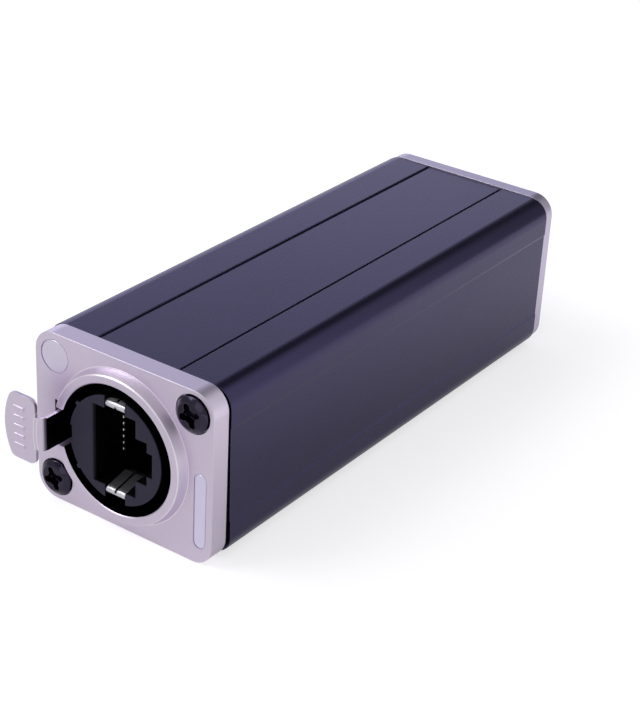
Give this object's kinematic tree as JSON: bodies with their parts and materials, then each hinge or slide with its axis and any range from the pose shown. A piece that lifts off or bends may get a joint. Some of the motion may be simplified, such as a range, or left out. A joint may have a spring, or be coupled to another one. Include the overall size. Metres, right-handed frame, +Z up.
{
  "type": "inline coupler with rj45 push-latch sockets",
  "caption": "Straight-through coupler: an anodised housing with a flanged, push-latch RJ45 socket in each end, joining two network leads.",
  "frame": {"origin": "on the front socket's axis, in the front face of the front flange", "axes": "+Y runs through the part from the front socket to the rear one, +X is right seen from the front, +Z is up"},
  "size_m": [0.0326, 0.0976, 0.026],
  "materials": {
    "black_anodised": "black anodised, satin",
    "nickel": "satin nickel plate",
    "black_plastic": "fine matte",
    "dark_plastic": "matte",
    "seal_rubber": "matte",
    "spring_steel": "bright plated",
    "pin_steel": "ground",
    "black_steel": "black oxide, semi-gloss",
    "board": "green solder resist",
    "gold": "gold plated"
  },
  "bodies": {
    "housing": {"body_tube": "black_anodised", "front_gasket": "seal_rubber", "link_board": "board", "front_shell": "nickel", "front_insert": "black_plastic", "front_back_cover": "dark_plastic", "front_contact_holder": "dark_plastic", "front_spring_upper": "spring_steel", "front_spring_lower": "spring_steel", "front_latch_pin": "pin_steel", "front_latch_spring": "spring_steel", "front_screw_upper": "black_steel", "front_screw_lower": "black_steel", "front_contact_1": "gold", "front_contact_2": "gold", "front_contact_3": "gold", "front_contact_4": "gold", "front_contact_5": "gold", "front_contact_6": "gold", "front_contact_7": "gold", "front_contact_8": "gold", "rear_shell": "nickel", "rear_insert": "black_plastic", "rear_back_cover": "dark_plastic", "rear_contact_holder": "dark_plastic", "rear_spring_upper": "spring_steel", "rear_spring_lower": "spring_steel", "rear_latch_pin": "pin_steel", "rear_latch_spring": "spring_steel", "rear_screw_upper": "black_steel", "rear_screw_lower": "black_steel", "rear_contact_1": "gold", "rear_contact_2": "gold", "rear_contact_3": "gold", "rear_contact_4": "gold", "rear_contact_5": "gold", "rear_contact_6": "gold", "rear_contact_7": "gold", "rear_contact_8": "gold"},
    "front_lever": {"front_latch": "nickel"},
    "rear_lever": {"rear_latch": "nickel"}
  },
  "joints": [
    {"name": "front_release", "type": "hinge", "parent": "housing", "child": "front_lever", "pos_m": [-0.0104, 0.013, 0], "axis": [0, 0, -1], "range_deg": [0, 5], "stiffness_Nm_per_rad": 0.06, "springref_deg": -5.73, "deforming": ["front_latch_spring"]},
    {"name": "rear_release", "type": "hinge", "parent": "housing", "child": "rear_lever", "pos_m": [-0.0104, 0.0742, 0], "axis": [0, 0, 1], "range_deg": [0, 5], "stiffness_Nm_per_rad": 0.06, "springref_deg": -5.73, "deforming": ["rear_latch_spring"]}
  ]
}
